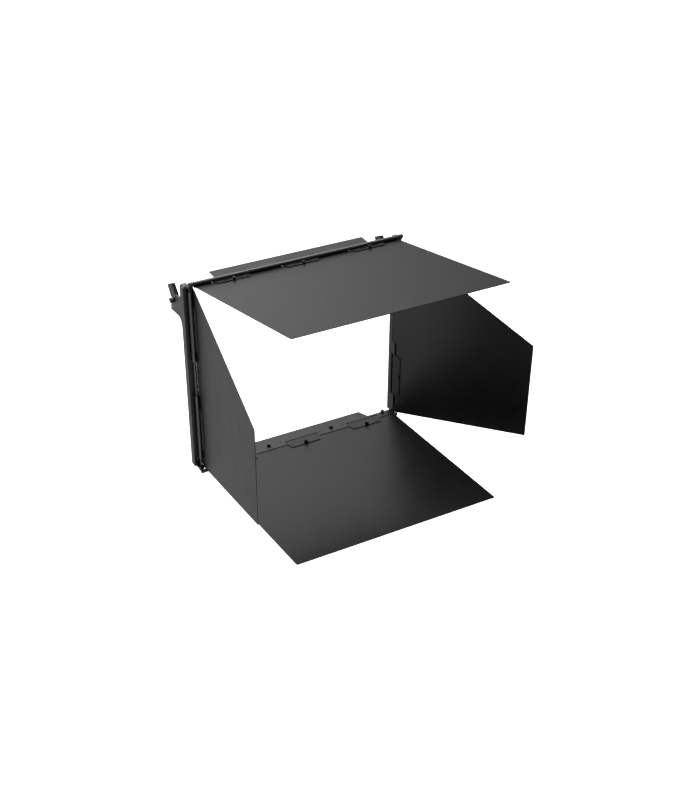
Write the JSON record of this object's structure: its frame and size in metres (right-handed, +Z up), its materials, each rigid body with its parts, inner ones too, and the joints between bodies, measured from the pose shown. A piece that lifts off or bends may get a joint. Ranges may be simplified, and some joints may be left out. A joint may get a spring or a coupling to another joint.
{
  "type": "barn door set for a panel light",
  "caption": "Barn doors on a slide-on frame for a square panel light: hinged leaves that shape the beam, with swinging latches.",
  "frame": {"origin": "centre of the light aperture, between the four hinges", "axes": "+Z up, -Y the way the light shines, +Y toward the lamp, +X to the right seen from the front"},
  "size_m": [0.4458, 0.384, 0.3856],
  "materials": {
    "sheet": "satin black",
    "flange": "satin black",
    "rail": "dark anodised",
    "hinge": "satin black",
    "pin": "blackened steel",
    "plastic": "matt black"
  },
  "bodies": {
    "frame": {"rod_left": "pin", "side_bracket_left_1": "hinge", "side_bracket_left_2": "hinge", "flange_left": "flange", "rod_right": "pin", "side_bracket_right_1": "hinge", "side_bracket_right_2": "hinge", "flange_right": "flange", "rod_top": "pin", "frame_knuckle_top_1": "hinge", "frame_knuckle_top_2": "hinge", "frame_knuckle_top_3": "hinge", "frame_knuckle_top_4": "hinge", "rod_bottom": "pin", "frame_knuckle_bottom_1": "hinge", "frame_knuckle_bottom_2": "hinge", "frame_knuckle_bottom_3": "hinge", "frame_knuckle_bottom_4": "hinge", "flange_top": "flange", "flange_bottom": "flange", "side_rail_left": "rail", "side_plate_left": "rail", "corner_lug_top_left": "hinge", "corner_lug_bottom_left": "hinge", "latch_nut_left": "pin", "side_rail_right": "rail", "side_plate_right": "rail", "corner_lug_top_right": "hinge", "corner_lug_bottom_right": "hinge", "latch_nut_right": "pin"},
    "leaf_left_body": {"leaf_left": "sheet", "leaf_knuckle_left_1": "hinge", "clamp_plate_left_1": "flange", "leaf_knuckle_left_2": "hinge", "clamp_plate_left_2": "flange"},
    "leaf_right_body": {"leaf_right": "sheet", "leaf_knuckle_right_1": "hinge", "clamp_plate_right_1": "flange", "leaf_knuckle_right_2": "hinge", "clamp_plate_right_2": "flange"},
    "leaf_top_body": {"leaf_top": "sheet", "leaf_knuckle_top_1": "hinge", "clamp_plate_top_1": "flange", "leaf_knuckle_top_2": "hinge", "clamp_plate_top_2": "flange", "leaf_knuckle_top_3": "hinge", "clamp_plate_top_3": "flange"},
    "leaf_bottom_body": {"leaf_bottom": "sheet", "leaf_knuckle_bottom_1": "hinge", "clamp_plate_bottom_1": "flange", "leaf_knuckle_bottom_2": "hinge", "clamp_plate_bottom_2": "flange", "leaf_knuckle_bottom_3": "hinge", "clamp_plate_bottom_3": "flange"},
    "latch_left_body": {"latch_lever_left": "plastic"},
    "knob_left_body": {"thumb_screw_left": "plastic"},
    "latch_right_body": {"latch_lever_right": "plastic"},
    "knob_right_body": {"thumb_screw_right": "plastic"}
  },
  "joints": [
    {"name": "leaf_left_hinge", "type": "hinge", "parent": "frame", "child": "leaf_left_body", "pos_m": [-0.1724, 0.0104, 0], "axis": [0, 0, -1], "range_deg": [-96.46, 83.54]},
    {"name": "leaf_right_hinge", "type": "hinge", "parent": "frame", "child": "leaf_right_body", "pos_m": [0.1724, 0.0092, 0], "axis": [0, 0, 1], "range_deg": [-106.96, 73.04]},
    {"name": "leaf_top_hinge", "type": "hinge", "parent": "frame", "child": "leaf_top_body", "pos_m": [0, 0.0062, 0.1612], "axis": [-1, 0, 0], "range_deg": [-101.97, 78.03]},
    {"name": "leaf_bottom_hinge", "type": "hinge", "parent": "frame", "child": "leaf_bottom_body", "pos_m": [0, 0.005, -0.1612], "axis": [1, 0, 0], "range_deg": [-84.79, 95.21]},
    {"name": "latch_left_pivot", "type": "hinge", "parent": "frame", "child": "latch_left_body", "pos_m": [-0.175, 0.0565, 0.116], "axis": [1, 0, 0], "range_deg": [-30, 60]},
    {"name": "thumb_screw_left_turn", "type": "hinge", "parent": "frame", "child": "knob_left_body", "pos_m": [-0.175, 0.0565, 0.116], "axis": [1, 0, 0], "range_deg": [-180, 180]},
    {"name": "latch_right_pivot", "type": "hinge", "parent": "frame", "child": "latch_right_body", "pos_m": [0.175, 0.0565, 0.116], "axis": [1, 0, 0], "range_deg": [-30, 60]},
    {"name": "thumb_screw_right_turn", "type": "hinge", "parent": "frame", "child": "knob_right_body", "pos_m": [0.175, 0.0565, 0.116], "axis": [1, 0, 0], "range_deg": [-180, 180]}
  ]
}
